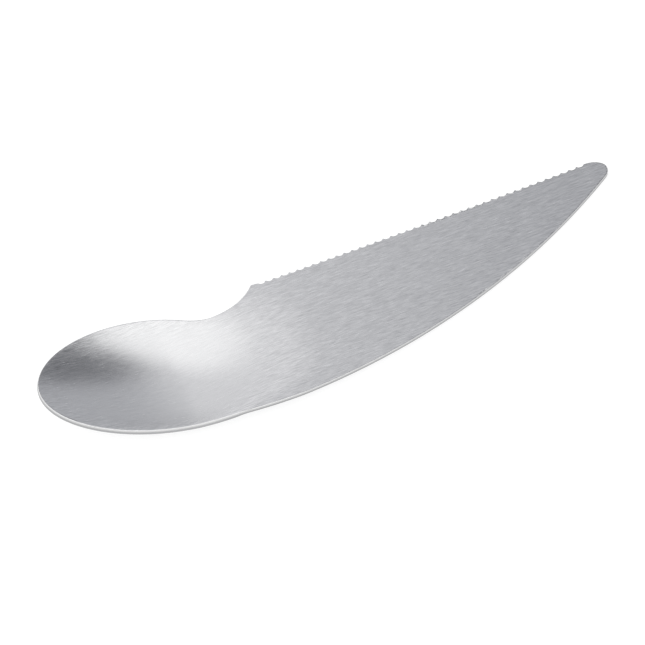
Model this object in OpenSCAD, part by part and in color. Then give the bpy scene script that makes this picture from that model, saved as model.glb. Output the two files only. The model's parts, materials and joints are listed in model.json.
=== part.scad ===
// Fruit spoon with a toothed blade, in one piece, cut and pressed from stainless steel sheet.
// The oval bowl scoops the fruit and the flat blade cuts and peels it.
// It lies on a table as it would by itself: on the underside of the bowl and the back edge of the blade.

/* [Sheet] */
// Thickness of the steel
sheet_t = 1.3; // [0.8:0.1:2]
// Length from the end of the bowl to the tip of the blade
overall_l = 165; // [150:1:190]

/* [Bowl] */
// Length of the oval
bowl_l = 61.3; // [54:0.1:70]
// Width of the oval
bowl_w = 35.9; // [32:0.1:40]
// Angle between the oval's long axis and the line of the teeth
bowl_turn = 15.8; // [10:0.1:22]
// Distance of the oval's centre inside the line of the teeth
bowl_in = 16; // [14:0.1:19]
// Depth of the dish below the face of the blade
bowl_depth = 5.5; // [4:0.1:8]
// Distance of the deepest point from the oval's centre, towards the blade
deep_shift = 6.5; // [0:0.5:9]
// Distance outside the rim at which the dish would run out level
rim_flare = 1.2; // [0.5:0.1:4]

/* [Neck] */
// Length of the curve from the oval to the narrowest point
neck_l = 14; // [9:0.1:18]
// Depth of the narrowest point inside the line of the teeth
neck_in = 4.4; // [2:0.05:8]
// Length of the curve from the narrowest point to the heel of the blade
heel_l = 12.7; // [9:0.1:20]
// Height of the heel above the line of the teeth
heel_rise = 0.25; // [0:0.05:1]

/* [Blade] */
// Width from the line of the teeth to the belly of the back edge
blade_w = 37.75; // [34:0.05:44]
// Distance of the belly from the heel, towards the bowl
belly_back = 10.4; // [0:0.1:20]
// Length of the rounding from the last tooth to the tip
tip_l = 5.1; // [3:0.1:8]
// Distance of the tip inside the line of the teeth
tip_in = 3.25; // [2:0.05:6]
// Radius where the tip turns into the back edge
tip_r = 2.75; // [1.5:0.05:4]

/* [Teeth] */
// Distance from tooth to tooth
tooth_pitch = 2.23; // [1.6:0.01:4]
// Depth of the hollow between two teeth
tooth_depth = 0.5; // [0.2:0.05:0.9]
// Flat left on the point of each tooth
tooth_land = 0.2; // [0.05:0.05:0.5]
// Hollow of the whole toothed line at its middle
edge_hollow = 0.3; // [0:0.05:1]

/* [Hidden] */

// The blank is drawn with x from the end of the bowl, y = 0 on the line of the teeth,
// and z = 0 on the upper face of the blade.

// Angles round the oval, from its end, at which the two sides leave it
far_leave = 96;
near_leave = 97;
// Reach of a curve's handles, as a share of the distance that the curve spans
soft_reach = 0.35;
sweep_reach = 0.7;
close_reach = 0.24;
crisp_reach = 0.05;
// Rows along the oval, rows along each neck curve, strips across, and steps of the blade's arcs
bowl_rows = 26;
neck_rows = 9;
strips = 22;
tip_steps = 10;
back_steps = 24;

function unit(v) = v / norm(v);
function last(list) = list[len(list) - 1];
function reversed(list) = [for (i = [len(list) - 1:-1:0]) list[i]];

// Curve from a to b that leaves along one direction and arrives along the other, without its first point
function curve(a, b, leave, arrive, reach_a, reach_b, steps) =
    let (span = norm(b - a), c = a + leave * reach_a * span, d = b - arrive * reach_b * span)
    [for (i = [1:steps]) let (t = i / steps, s = 1 - t)
        a * s^3 + 3 * c * t * s^2 + 3 * d * t^2 * s + b * t^3];

// Oval of the bowl
along = [cos(bowl_turn), -sin(bowl_turn)];
across = [sin(bowl_turn), cos(bowl_turn)];
oval_a = bowl_l / 2;
oval_b = bowl_w / 2;
bowl_c = [norm([oval_a * along.x, oval_b * across.x]), -bowl_in];
function oval(angle) = bowl_c + oval_a * cos(angle) * along + oval_b * sin(angle) * across;
function oval_way(angle) = unit(oval_b * cos(angle) * across - oval_a * sin(angle) * along);
far_oval = [for (i = [0:bowl_rows]) oval(180 - far_leave * i / bowl_rows)];
near_oval = [for (i = [0:bowl_rows]) oval(180 + near_leave * i / bowl_rows)];

// Neck, heel and the arc of the back edge, which meets the round of the tip without a corner
level = [1, 0];
neck = [last(far_oval).x + neck_l, -neck_in];
heel = [neck.x + heel_l, heel_rise];
tip_c = [overall_l - tip_r, -tip_in];
belly_x = heel.x - belly_back;
tip_run = tip_c.x - belly_x;
tip_climb = blade_w - tip_in;
back_r = (tip_run^2 + tip_climb^2 - tip_r^2) / (2 * (tip_climb - tip_r));
back_c = [belly_x, back_r - blade_w];
back_start = acos(belly_back / back_r);
back_end = atan2(back_c.y - tip_c.y, tip_run);
function back_edge(angle) = back_c + back_r * [cos(angle), -sin(angle)];
back_way = [sin(back_start), cos(back_start)];
back_join = [heel.x, back_c.y - sqrt(back_r^2 - belly_back^2)];

// The two sides of the bowl and neck, row by row, from the end of the bowl to the heel
far_side = concat(far_oval,
    curve(last(far_oval), neck, -oval_way(180 - far_leave), level, soft_reach, soft_reach, neck_rows),
    curve(neck, heel, level, level, sweep_reach, crisp_reach, neck_rows));
near_side = concat(near_oval,
    curve(last(near_oval), back_join, oval_way(180 + near_leave), back_way,
        soft_reach, close_reach, 2 * neck_rows));

// Teeth: hollows of one radius at an even pitch along a line that is itself slightly hollow
tooth_end = overall_l - tip_l;
tooth_run = tooth_end - heel.x;
tooth_count = floor(tooth_run / tooth_pitch);
first_hollow = tooth_end - (tooth_count - 0.5) * tooth_pitch;
hollow_half = (tooth_pitch - tooth_land) / 2;
hollow_r = (hollow_half^2 + tooth_depth^2) / (2 * tooth_depth);
function tooth_line(x) = let (s = (x - heel.x) / tooth_run) -4 * edge_hollow * s * (1 - s);
function hollow_x(i) = first_hollow + i * tooth_pitch;

// Edge of the blade from the heel over the teeth and round the tip, then along the back edge to the neck
toothed_edge = [for (i = [0:tooth_count - 1], side = [-1, 1])
    let (x = hollow_x(i) + side * hollow_half) [x, tooth_line(x)]];
tip_edge = [for (i = [0:tip_steps]) let (a = 90 * i / tip_steps)
    [tooth_end + tip_l * sin(a), -tip_in * (1 - cos(a))]];
turn_edge = [for (i = [1:tip_steps - 1]) let (a = back_end * i / tip_steps)
    tip_c + tip_r * [cos(a), -sin(a)]];
long_edge = [for (i = [0:back_steps - 1]) back_edge(back_end + (back_start - back_end) * i / back_steps)];
blade_edge = concat([heel], toothed_edge, tip_edge, turn_edge, long_edge, [back_join]);

// Dish: an oval cap that is level again just outside the rim. From its deepest point towards the blade
// it runs on as a trough, which bends towards the toothed side and is level at the heel.
cap_power = 1.15;
run_power = 2.4;
run_ease = 12;
run_bend = 0.5;
deepest = bowl_c + deep_shift * along;
dish_a = oval_a + deep_shift + rim_flare;
dish_b = oval_b + rim_flare;
function lengthwise(p) = (p - deepest) * along;
function run(p) = let (far = max(0, lengthwise(p))) far^2 / (far + run_ease);
function dish_u(p) = min(0, lengthwise(p)) / dish_a;
function dish_v(p) = ((p - deepest) * across - run_bend * run(p)) / dish_b;
function cap(p) = max(0, 1 - dish_u(p)^2 - dish_v(p)^2)^cap_power;
function run_out(p) = max(0, 1 - max(0, (p.x - deepest.x) / (heel.x - deepest.x))^2)^run_power;
function dish(p) = -bowl_depth * cap(p) * run_out(p);
slope_step = 0.01;
function slope(p) = [for (way = [[slope_step, 0], [0, slope_step]])
    (dish(p + way) - dish(p - way)) / (2 * slope_step)];
function upper(p) = [p.x, p.y, dish(p)];
function lower(p) = let (g = slope(p)) upper(p) - sheet_t * unit([-g.x, -g.y, 1]);

// Corners of the pressed sheet: the end of the bowl, then rows of points from the near side to the far side.
// The last row lies a little way inside the blade, so that the two halves of the sheet are one.
join_lap = 1;
far_rows = concat(far_side, [heel + join_lap * [1, -1]]);
near_rows = concat(near_side, [back_join + join_lap * [1, 1]]);
rows = len(far_rows) - 1;
row_points = strips + 1;
plan = concat([far_rows[0]],
    [for (i = [1:rows], k = [0:strips]) near_rows[i] + (far_rows[i] - near_rows[i]) * k / strips]);
layer = len(plan);
sheet_points = concat([for (p = plan) upper(p)], [for (p = plan) lower(p)]);
function at(i, k) = i == 0 ? 0 : 1 + (i - 1) * row_points + k;
function below(i, k) = layer + at(i, k);
upper_faces = concat(
    [for (k = [0:strips - 1]) [0, at(1, k + 1), at(1, k)]],
    [for (i = [1:rows - 1], k = [0:strips - 1], half = [0, 1])
        half == 0 ? [at(i, k), at(i, k + 1), at(i + 1, k + 1)] : [at(i, k), at(i + 1, k + 1), at(i + 1, k)]]);
lower_faces = [for (f = upper_faces) [layer + f[2], layer + f[1], layer + f[0]]];
near_faces = [for (i = [0:rows - 1], half = [0, 1])
    half == 0 ? [at(i, 0), at(i + 1, 0), below(i + 1, 0)] : [at(i, 0), below(i + 1, 0), below(i, 0)]];
far_faces = [for (i = [0:rows - 1], half = [0, 1])
    half == 0 ? [at(i + 1, strips), at(i, strips), below(i, strips)]
              : [at(i + 1, strips), below(i, strips), below(i + 1, strips)]];
lap_faces = [for (k = [0:strips - 1], half = [0, 1])
    half == 0 ? [at(rows, k), at(rows, k + 1), below(rows, k + 1)]
              : [at(rows, k), below(rows, k + 1), below(rows, k)]];

// Lying on a table: the slopes of the table under the blank that let its balance point sink lowest
outline = concat(far_side, blade_edge, reversed(near_side));
function outline_cross(i) = let (p = outline[i], q = outline[(i + 1) % len(outline)]) p.x * q.y - p.y * q.x;
outline_sum = [for (i = [0:len(outline) - 1])
    outline_cross(i) * concat(outline[i] + outline[(i + 1) % len(outline)], [3])];
moments = [for (k = [0:2]) [for (m = outline_sum) m[k]] * [for (m = outline_sum) 1]];
balance = [moments.x, moments.y] / moments.z;
touch_rings = 6;
touch_steps = 24;
touching = concat(
    [for (r = [0:touch_rings], j = [1:touch_steps]) let (s = r / touch_rings / 2, a = j * 360 / touch_steps)
        lower(deepest + s * (oval_a * cos(a) * along + oval_b * sin(a) * across))],
    [for (p = concat(tip_edge, turn_edge, long_edge)) [p.x, p.y, -sheet_t]]);
function room(sx, sy) = min([for (p = touching) p.z - sx * (p.x - balance.x) - sy * (p.y - balance.y)]);
steepest = 0.3;
search_steps = 18;
function best_sy(sx, low = -steepest, high = steepest, n = search_steps) =
    let (a = (2 * low + high) / 3, b = (low + 2 * high) / 3)
    n == 0 ? (low + high) / 2
    : room(sx, a) < room(sx, b) ? best_sy(sx, a, high, n - 1) : best_sy(sx, low, b, n - 1);
function best_sx(low = -steepest, high = steepest, n = search_steps) =
    let (a = (2 * low + high) / 3, b = (low + 2 * high) / 3)
    n == 0 ? (low + high) / 2
    : room(a, best_sy(a)) < room(b, best_sy(b)) ? best_sx(a, high, n - 1) : best_sx(low, b, n - 1);
table_sx = best_sx();
table_sy = best_sy(table_sx);
roll = -atan(table_sy);
pitch = atan(table_sx / norm([1, table_sy]));
function lying(p) = let (y = p.y * cos(roll) - p.z * sin(roll), z = p.y * sin(roll) + p.z * cos(roll))
    [p.x * cos(pitch) + z * sin(pitch), y, z * cos(pitch) - p.x * sin(pitch)];
blade_points = [for (p = blade_edge, z = [0, -sheet_t]) [p.x, p.y, z]];
lying_points = [for (p = concat(sheet_points, blade_points)) lying(p)];
box_low = [for (k = [0:2]) min([for (p = lying_points) p[k]])];
box_high = [for (k = [0:2]) max([for (p = lying_points) p[k]])];
box_foot = [(box_low.x + box_high.x) / 2, (box_low.y + box_high.y) / 2, box_low.z];

// Bowl and neck, up to the heel
module dished_end() {
    polyhedron(sheet_points, concat(upper_faces, lower_faces, near_faces, far_faces, lap_faces));
}

// Blade from the heel to the tip, with the hollows of the teeth cut through
module toothed_blade() {
    translate([0, 0, -sheet_t]) linear_extrude(sheet_t) difference() {
        polygon(blade_edge);
        for (i = [0:tooth_count - 1])
            translate([hollow_x(i), tooth_line(hollow_x(i)) + hollow_r - tooth_depth])
                circle(hollow_r, $fn = 48);
    }
}

// The one piece, lying on z = 0 with the middle of its box over the origin
module spoon_body() {
    color("#b9bbbe") translate(-box_foot) rotate([roll, pitch, 0]) {
        dished_end();
        toothed_blade();
    }
}

spoon_body();
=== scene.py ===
import json
from math import acos, asin, atan2, cos, floor, hypot, radians, sin, sqrt

import bmesh
import bpy
from mathutils import Matrix, Vector
from mathutils.bvhtree import BVHTree
from mathutils.geometry import interpolate_bezier


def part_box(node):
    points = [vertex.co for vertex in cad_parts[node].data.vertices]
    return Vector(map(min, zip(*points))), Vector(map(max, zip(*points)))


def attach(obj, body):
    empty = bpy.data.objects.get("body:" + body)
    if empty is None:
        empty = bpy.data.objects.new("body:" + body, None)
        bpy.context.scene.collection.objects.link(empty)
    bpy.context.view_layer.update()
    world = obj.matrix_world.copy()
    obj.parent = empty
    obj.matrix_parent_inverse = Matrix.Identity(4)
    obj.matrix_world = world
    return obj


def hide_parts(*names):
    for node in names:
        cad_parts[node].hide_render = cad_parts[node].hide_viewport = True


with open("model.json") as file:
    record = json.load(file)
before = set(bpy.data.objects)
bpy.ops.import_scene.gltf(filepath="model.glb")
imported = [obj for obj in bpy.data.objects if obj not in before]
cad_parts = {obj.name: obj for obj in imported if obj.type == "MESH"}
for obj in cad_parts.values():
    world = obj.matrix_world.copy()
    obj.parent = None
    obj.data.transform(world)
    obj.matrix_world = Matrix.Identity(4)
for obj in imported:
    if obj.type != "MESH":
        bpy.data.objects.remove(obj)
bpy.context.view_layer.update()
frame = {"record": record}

# Outline of the spoon: one blank of stainless steel sheet, cut in a die to the shape of the bowl, the neck
# and the blade. Sizes are in millimetres on the flat sheet: x from the end of the bowl, y = 0 on the line
# of the teeth, and z = 0 on the upper face of the blade.
overall_l = 165
bowl_l = 61.3
bowl_w = 35.9
bowl_turn = radians(15.8)
bowl_in = 16
far_leave = radians(96)
near_leave = radians(97)
neck_l = 14
neck_in = 4.4
heel_l = 12.7
heel_rise = 0.25
blade_w = 37.75
belly_back = 10.4
tip_l = 5.1
tip_in = 3.25
tip_r = 2.75
soft_reach = 0.35
sweep_reach = 0.7
close_reach = 0.24
crisp_reach = 0.05

along = Vector((cos(bowl_turn), -sin(bowl_turn)))
across = Vector((sin(bowl_turn), cos(bowl_turn)))
level = Vector((1, 0))
oval_a = bowl_l / 2
oval_b = bowl_w / 2
oval_focus = sqrt(oval_a**2 - oval_b**2)
bowl_c = Vector((hypot(oval_a * along.x, oval_b * across.x), -bowl_in))


def oval(angle):
    """Point of the bowl's oval, with the angle counted from its end towards the toothed side."""
    return bowl_c - oval_a * cos(angle) * along + oval_b * sin(angle) * across


def oval_way(angle):
    return (oval_a * sin(angle) * along + oval_b * cos(angle) * across).normalized()


def curve(start, end, leave, arrive, reach_start, reach_end, steps):
    """Points of a curve that leaves and arrives along given directions, its start included."""
    span = (end - start).length
    handles = (start + leave * reach_start * span, end - arrive * reach_end * span)
    return interpolate_bezier(start.to_3d(), handles[0].to_3d(), handles[1].to_3d(), end.to_3d(), steps + 1)


neck = Vector((oval(far_leave).x + neck_l, -neck_in))
heel = Vector((neck.x + heel_l, heel_rise))
tip_c = Vector((overall_l - tip_r, -tip_in))
belly_x = heel.x - belly_back
tip_run = tip_c.x - belly_x
tip_climb = blade_w - tip_in
back_r = (tip_run**2 + tip_climb**2 - tip_r**2) / (2 * (tip_climb - tip_r))
back_c = Vector((belly_x, back_r - blade_w))
back_end = atan2(back_c.y - tip_c.y, tip_run)


def back_edge(x):
    """Point of the blade's back edge, an arc that runs into the round of the tip without a corner."""
    return Vector((x, back_c.y - sqrt(back_r**2 - (x - belly_x) ** 2)))


back_join = back_edge(heel.x)
back_way = Vector((back_c.y - back_join.y, belly_back)).normalized()

# Stations along the blank: each holds a point on the toothed side, one on the back edge, and one between
# them. The blade's edge is cut to shallow hollows of one radius, which leave a row of small teeth.
tooth_pitch = 2.23
tooth_depth = 0.5
tooth_land = 0.2
edge_hollow = 0.3
bowl_rows = 72
neck_rows = 16
tooth_rows = 8
tip_rows = 14

stations = []
for i in range(bowl_rows):
    share = i / bowl_rows
    middle = bowl_c - oval_focus * cos((far_leave + near_leave) / 2 * share) * along
    stations.append((oval(far_leave * share), oval(-near_leave * share), middle))

far_neck = curve(oval(far_leave), neck, oval_way(far_leave), level, soft_reach, soft_reach, neck_rows)[:-1]
far_neck += curve(neck, heel, level, level, sweep_reach, crisp_reach, neck_rows)
near_neck = curve(oval(-near_leave), back_join, -oval_way(-near_leave), back_way, soft_reach, close_reach,
                  2 * neck_rows)
stations += [(far.to_2d(), near.to_2d(), (far + near).to_2d() / 2) for far, near in zip(far_neck, near_neck)]

tooth_end = overall_l - tip_l
tooth_run = tooth_end - heel.x
tooth_count = floor(tooth_run / tooth_pitch)
hollow_half = (tooth_pitch - tooth_land) / 2
hollow_r = (hollow_half**2 + tooth_depth**2) / (2 * tooth_depth)
for i in range(tooth_count):
    hollow_x = tooth_end - (tooth_count - 0.5 - i) * tooth_pitch
    share = (hollow_x - heel.x) / tooth_run
    hollow_y = hollow_r - tooth_depth - 4 * edge_hollow * share * (1 - share)
    for step in range(tooth_rows + 1):
        side = hollow_half * (2 * step / tooth_rows - 1)
        far = Vector((hollow_x + side, hollow_y - sqrt(hollow_r**2 - side**2)))
        near = back_edge(far.x)
        stations.append((far, near, (far + near) / 2))

tip_turn = tip_r * back_end
tip_path = tip_turn + back_r * (acos((tooth_end - belly_x) / back_r) - back_end)
for i in range(tip_rows + 1):
    share = i / tip_rows
    turn = radians(90) * share
    far = Vector((tooth_end + tip_l * sin(turn), -tip_in * (1 - cos(turn))))
    left = tip_path * (1 - share)
    if left > tip_turn:
        turn = back_end + (left - tip_turn) / back_r
        near = back_c + back_r * Vector((cos(turn), -sin(turn)))
    else:
        near = tip_c + tip_r * Vector((cos(left / tip_r), -sin(left / tip_r)))
    middle = Vector((tooth_end, back_edge(tooth_end).y / 2)).lerp(tip_c, share)
    middle.y += (tip_c.y - middle.y) * share
    stations.append((far, near, middle))

# Spoon body: the bowl is pressed into the blank, deepest between the oval's middle and the blade. From
# there it runs on as a trough that bends towards the teeth and fades out past the heel. The sheet keeps its
# thickness, and its cut edges are tumbled until they are slightly round.
sheet_t = 1.3
bowl_depth = 5.5
deep_shift = 6.5
rim_flare = 1.2
cap_power = 1.15
run_end = 82
run_power = 5.7
run_ease = 12
run_bend = 0.5
edge_round = 0.2
edge_segments = 3
smooth_from = 2.5
half_strips = 22
edge_crowding = 1.35
merge_gap = 0.0005
sharp_edge = radians(60)
millimetre = 0.001

sheet = bmesh.new()
bmesh.ops.create_grid(sheet, x_segments=len(stations) - 1, y_segments=2 * half_strips, size=1)
for v in sheet.verts:
    far, near, middle = stations[round((v.co.x + 1) / 2 * (len(stations) - 1))]
    share = 1 - (1 - min(1, abs(v.co.y))) ** edge_crowding
    v.co = middle.lerp(far if v.co.y > 0 else near, share).to_3d()
bmesh.ops.remove_doubles(sheet, verts=sheet.verts, dist=merge_gap)
deepest = bowl_c + deep_shift * along
for v in sheet.verts:
    away = v.co.to_2d() - deepest
    run = max(0, away @ along)
    run = run**2 / (run + run_ease)
    lengthwise = min(0, away @ along) / (oval_a + deep_shift + rim_flare)
    sideways = (away @ across - run_bend * run) / (oval_b + rim_flare)
    run_out = max(0, 1 - max(0, away.x / (run_end - deepest.x)) ** 2)
    v.co.z = -bowl_depth * max(0, 1 - lengthwise**2 - sideways**2) ** cap_power * run_out**run_power
sheet.normal_update()
upper_face = BVHTree.FromBMesh(sheet)
bmesh.ops.solidify(sheet, geom=sheet.faces[:], thickness=sheet_t)
sheet.normal_update()
rims = [e for e in sheet.edges if len(e.link_faces) == 2 and e.calc_face_angle() > sharp_edge]
bmesh.ops.bevel(sheet, geom=rims, offset=edge_round, offset_type="OFFSET", segments=edge_segments,
                profile=0.5, affect="EDGES", material=-1, clamp_overlap=False, loop_slide=True)
bmesh.ops.recalc_face_normals(sheet, faces=sheet.faces)

# Each point keeps how deep it lies in the sheet and how far the press has moved it, for the finish and for
# the painted shade on the lower cut edge.
depth = sheet.verts.layers.float.new("depth")
pressed = sheet.verts.layers.float.new("pressed")
for v in sheet.verts:
    v[depth] = upper_face.find_nearest(v.co)[3] / sheet_t
    v[pressed] = min(1, max(0, -v.co.z - v[depth] * sheet_t) / smooth_from)

# Brushing runs straight along the sheet as it came from the mill, nearly in line with the teeth.
brush_turn = radians(-1.3)
brush_along = Vector((cos(brush_turn), sin(brush_turn)))
brush_across = Vector((-sin(brush_turn), cos(brush_turn)))
brush_map = sheet.loops.layers.uv.new("brushing")
for face in sheet.faces:
    face.smooth = True
    for loop in face.loops:
        place = loop.vert.co.to_2d()
        loop[brush_map].uv = (place @ brush_across, place @ brush_along)

# The spoon lies on its bowl and the back edge of its blade, so the blade's face leans as in the solids.
blade_up = -Vector(frame["record"]["mounts"][0]["axis"])
lying = Matrix.Rotation(atan2(blade_up.x, blade_up.z), 4, "Y") @ Matrix.Rotation(asin(-blade_up.y), 4, "X")
bmesh.ops.transform(sheet, matrix=lying @ Matrix.Scale(millimetre, 4), verts=sheet.verts)
cad_low, cad_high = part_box("spoon_body")
low = Vector(min(v.co[k] for v in sheet.verts) for k in range(3))
high = Vector(max(v.co[k] for v in sheet.verts) for k in range(3))
shift = (cad_low + cad_high - low - high) / 2
shift.z = cad_low.z - low.z
bmesh.ops.translate(sheet, vec=shift, verts=sheet.verts)

spoon_mesh = bpy.data.meshes.new("spoon")
sheet.to_mesh(spoon_mesh)
sheet.free()
spoon = bpy.data.objects.new("spoon", spoon_mesh)
bpy.context.scene.collection.objects.link(spoon)
spoon.modifiers.new("flat_faces", "WEIGHTED_NORMAL")
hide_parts("spoon_body")
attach(spoon, "root")

# Brushed steel: the sheet is ground with a fine belt, which leaves straight scratches, each a little lighter
# or darker than the next, with a fine grain between them. They spread reflections across their direction.
steel_dark = (0.422, 0.424, 0.429, 1)
steel_light = (0.685, 0.686, 0.689, 1)
brush_spread = 0.6
line_l = 3.5
line_w = 0.19
line_detail = 1
grain_l = 1.2
grain_w = 0.18
grain_detail = 0
grain_share = 0.27
aslant = radians(40)
noise_low = 0.25
noise_high = 0.75
rough_least = 0.20
rough_most = 0.28
scratch_strength = 0.25
scratch_height = 0.00002

steel = bpy.data.materials.new("brushed_steel")
steel.use_nodes = True
nodes = steel.node_tree.nodes
links = steel.node_tree.links
shader = nodes["Principled BSDF"]
shader.inputs["Metallic"].default_value = 1
shader.inputs["Anisotropic"].default_value = brush_spread
uv = nodes.new("ShaderNodeUVMap")
uv.uv_map = "brushing"


def streaks(width, length, detail):
    """Noise drawn out along the brushing, from 0 to 1, cut aslant so that no strokes start in a row."""
    stretch = nodes.new("ShaderNodeMapping")
    stretch.vector_type = "TEXTURE"
    stretch.inputs["Rotation"].default_value = (0, aslant, 0)
    stretch.inputs["Scale"].default_value = (width, length, width)
    links.new(uv.outputs["UV"], stretch.inputs["Vector"])
    noise = nodes.new("ShaderNodeTexNoise")
    noise.inputs["Scale"].default_value = 1
    noise.inputs["Detail"].default_value = detail
    links.new(stretch.outputs["Vector"], noise.inputs["Vector"])
    spread = nodes.new("ShaderNodeMapRange")
    spread.inputs["From Min"].default_value = noise_low
    spread.inputs["From Max"].default_value = noise_high
    links.new(noise.outputs["Fac"], spread.inputs["Value"])
    return spread.outputs["Result"]


lines = streaks(line_w, line_l, line_detail)
grain = streaks(grain_w, grain_l, grain_detail)
scratches = nodes.new("ShaderNodeMix")
scratches.inputs["Factor"].default_value = grain_share
links.new(lines, scratches.inputs["A"])
links.new(grain, scratches.inputs["B"])
tone = nodes.new("ShaderNodeMix")
tone.data_type = "RGBA"
tone.inputs["A"].default_value = steel_dark
tone.inputs["B"].default_value = steel_light

# The press flattens most of the scratches in the bowl.
press_loss = 0.7
middle_tone = 0.5
flattened = nodes.new("ShaderNodeAttribute")
flattened.attribute_name = "pressed"
fainter = nodes.new("ShaderNodeMapRange")
fainter.inputs["To Max"].default_value = press_loss
links.new(flattened.outputs["Fac"], fainter.inputs["Value"])
brushing = nodes.new("ShaderNodeMix")
brushing.inputs["B"].default_value = middle_tone
links.new(fainter.outputs["Result"], brushing.inputs["Factor"])
links.new(scratches.outputs["Result"], brushing.inputs["A"])
links.new(brushing.outputs["Result"], tone.inputs["Factor"])

# The die leaves a bright band down the upper part of the cut edge and a dull, torn one below it. The lower
# band is also darkened as painted shade, in place of the shadowed table that it reflects. Their borders are
# shares of the sheet's thickness, from its upper face.
bright_cut = (0.55, 0.55, 0.552, 1)
# Lower band colour: partly the torn steel's dullness, partly painted shade of the shadowed table reflected
# in the edge.
torn_cut_painted_shade = (0.36, 0.362, 0.366, 1)
cut_start = (0.04, 0.14)
torn_and_shaded_from = (0.33, 0.55)
cut_end = (0.92, 0.98)
depth_in = nodes.new("ShaderNodeAttribute")
depth_in.attribute_name = "depth"


def step_at(start, end):
    """0 above one depth in the sheet and 1 below another."""
    step = nodes.new("ShaderNodeMapRange")
    step.interpolation_type = "SMOOTHSTEP"
    step.inputs["From Min"].default_value = start
    step.inputs["From Max"].default_value = end
    links.new(depth_in.outputs["Fac"], step.inputs["Value"])
    return step.outputs["Result"]


def blend(factor, first, second):
    """Colour that turns from the first to the second."""
    mixed = nodes.new("ShaderNodeMix")
    mixed.data_type = "RGBA"
    links.new(factor, mixed.inputs["Factor"])
    for socket, colour in (("A", first), ("B", second)):
        if isinstance(colour, tuple):
            mixed.inputs[socket].default_value = colour
        else:
            links.new(colour, mixed.inputs[socket])
    return mixed.outputs["Result"]


# The lower band of the cut edge is darkened with painted shade as well as the dull torn steel.
cut = blend(step_at(*torn_and_shaded_from), bright_cut, torn_cut_painted_shade)
cut = blend(step_at(*cut_start), tone.outputs["Result"], cut)
finish_and_painted_shade = blend(step_at(*cut_end), cut, tone.outputs["Result"])
links.new(finish_and_painted_shade, shader.inputs["Base Color"])
gloss = nodes.new("ShaderNodeMapRange")
gloss.inputs["To Min"].default_value = rough_least
gloss.inputs["To Max"].default_value = rough_most
links.new(scratches.outputs["Result"], gloss.inputs["Value"])
links.new(gloss.outputs["Result"], shader.inputs["Roughness"])
relief = nodes.new("ShaderNodeBump")
relief.inputs["Strength"].default_value = scratch_strength
relief.inputs["Distance"].default_value = scratch_height
links.new(lines, relief.inputs["Height"])
links.new(relief.outputs["Normal"], shader.inputs["Normal"])
tangent = nodes.new("ShaderNodeTangent")
tangent.direction_type = "UV_MAP"
tangent.uv_map = "brushing"
links.new(tangent.outputs["Tangent"], shader.inputs["Tangent"])
spoon_mesh.materials.append(steel)

# Camera: a long lens from the front left, at the photograph's angle above the blade, so that sizes hardly
# change with distance.
view_turn = radians(-24.89)
view_rise = radians(52)
photo_px = 645
px_per_mm = 3.8625
photo_middle = Vector((76.06, -18.86, 0))
lens_mm = 1000
far_clip = 100

toward = Vector((sin(view_turn) * cos(view_rise), -cos(view_turn) * cos(view_rise), sin(view_rise)))
to_camera = lying.to_3x3() @ toward
camera_data = bpy.data.cameras.new("camera")
camera_data.lens = lens_mm
camera = bpy.data.objects.new("camera", camera_data)
bpy.context.scene.collection.objects.link(camera)
distance = lens_mm / camera_data.sensor_width * photo_px / px_per_mm * millimetre
aim = lying @ Matrix.Scale(millimetre, 4) @ photo_middle + shift
rightward = blade_up.cross(to_camera).normalized()
turned = Matrix((rightward, to_camera.cross(rightward), to_camera)).transposed().to_4x4()
camera.matrix_world = Matrix.Translation(aim + to_camera * distance) @ turned
camera_data.clip_end = far_clip
bpy.context.scene.camera = camera

# Table: a sheet of matt acrylic, larger than the view. It is lit from below, so that it looks white and
# hardly shows a shadow.
table_size = 3
table_grey = (0.3, 0.3, 0.3, 1)
table_rough = 0.9
table_glow = 0.75
table_mesh = bpy.data.meshes.new("table")
table_top = bmesh.new()
bmesh.ops.create_grid(table_top, x_segments=1, y_segments=1, size=table_size)
bmesh.ops.translate(table_top, vec=(0, 0, cad_low.z), verts=table_top.verts)
table_top.to_mesh(table_mesh)
table_top.free()
table = bpy.data.objects.new("table", table_mesh)
bpy.context.scene.collection.objects.link(table)
acrylic = bpy.data.materials.new("white_acrylic")
acrylic.use_nodes = True
shader = acrylic.node_tree.nodes["Principled BSDF"]
shader.inputs["Base Color"].default_value = table_grey
shader.inputs["Roughness"].default_value = table_rough
shader.inputs["Emission Color"].default_value = (1, 1, 1, 1)
shader.inputs["Emission Strength"].default_value = table_glow
table_mesh.materials.append(acrylic)

# Light tent: white cloth in a dome over the table, lit from outside. It is brightest in front and overhead,
# less bright on the left, grey and a little cool behind, with a dark opening on the right.
tent_r = 0.75
tent_fineness = 5
behind = (0.66, 0.67, 0.705, 1)
on_left = (1.10, 1.10, 1.125, 1)
left_patch = (-81, -19, 90, 102)
in_front = (1.61, 1.61, 1.615, 1)
front_patch = (-34, -69, 80, 97)
opening = (0.20, 0.205, 0.225, 1)
opening_patch = (32, 14, 15.5, 25)
right = Vector((cos(view_turn), sin(view_turn), 0))
back = Vector((-sin(view_turn), cos(view_turn), 0))

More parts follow.
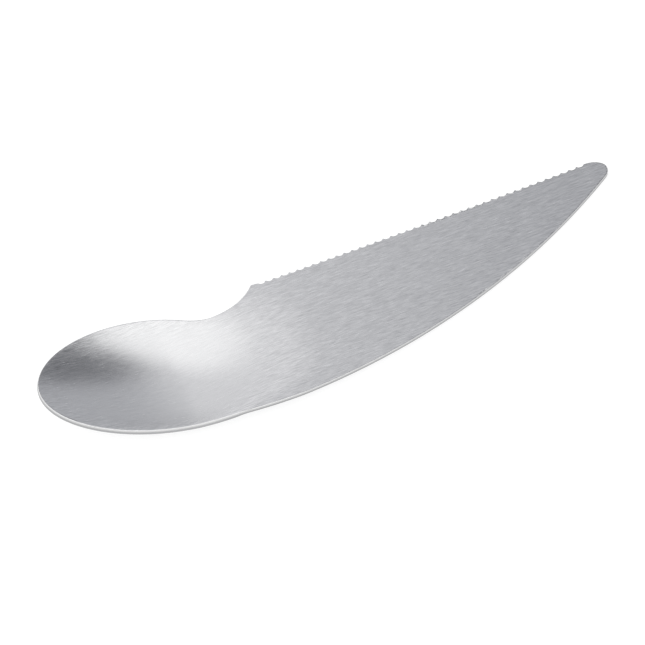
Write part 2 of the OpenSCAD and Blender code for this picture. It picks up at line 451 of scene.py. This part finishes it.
tent_mesh = bpy.data.meshes.new("tent")
dome = bmesh.new()
bmesh.ops.create_icosphere(dome, subdivisions=tent_fineness, radius=tent_r)
dome.to_mesh(tent_mesh)
dome.free()
tent = bpy.data.objects.new("tent", tent_mesh)
bpy.context.scene.collection.objects.link(tent)
tent.visible_camera = False

cloth = bpy.data.materials.new("tent_cloth")
cloth.use_nodes = True
nodes = cloth.node_tree.nodes
links = cloth.node_tree.links
nodes.remove(nodes["Principled BSDF"])
glow = nodes.new("ShaderNodeEmission")
links.new(glow.outputs["Emission"], nodes["Material Output"].inputs["Surface"])
where = nodes.new("ShaderNodeTexCoord")
way = nodes.new("ShaderNodeVectorMath")
way.operation = "NORMALIZE"
links.new(where.outputs["Object"], way.inputs[0])
under = nodes.new("ShaderNodeRGB").outputs["Color"]
under.default_value = behind


def patch(rightwards, backwards, inner, outer, colour):
    """One soft round patch over the cloth so far, placed and sized in degrees from overhead."""
    lean = hypot(rightwards, backwards)
    middle = (rightwards * right + backwards * back) / lean * sin(radians(lean))
    middle.z = cos(radians(lean))
    nearness = nodes.new("ShaderNodeVectorMath")
    nearness.operation = "DOT_PRODUCT"
    nearness.inputs[1].default_value = middle
    links.new(way.outputs["Vector"], nearness.inputs[0])
    fade = nodes.new("ShaderNodeMapRange")
    fade.interpolation_type = "SMOOTHSTEP"
    fade.inputs["From Min"].default_value = cos(radians(outer))
    fade.inputs["From Max"].default_value = cos(radians(inner))
    links.new(nearness.outputs["Value"], fade.inputs["Value"])
    over = nodes.new("ShaderNodeMix")
    over.data_type = "RGBA"
    over.inputs["B"].default_value = colour
    links.new(fade.outputs["Result"], over.inputs["Factor"])
    links.new(under, over.inputs["A"])
    return over.outputs["Result"]


under = patch(*left_patch, on_left)
under = patch(*front_patch, in_front)
under = patch(*opening_patch, opening)
links.new(under, glow.inputs["Color"])
tent_mesh.materials.append(cloth)

# Room: plain white walls, seen beyond the edge of the table in low views. Colours are shown as they are,
# without a film curve.
room = bpy.data.worlds.new("white_room")
bpy.context.scene.world = room
room.use_nodes = True
room.node_tree.nodes["Background"].inputs["Color"].default_value = (1, 1, 1, 1)
bpy.context.scene.view_settings.view_transform = "Standard"
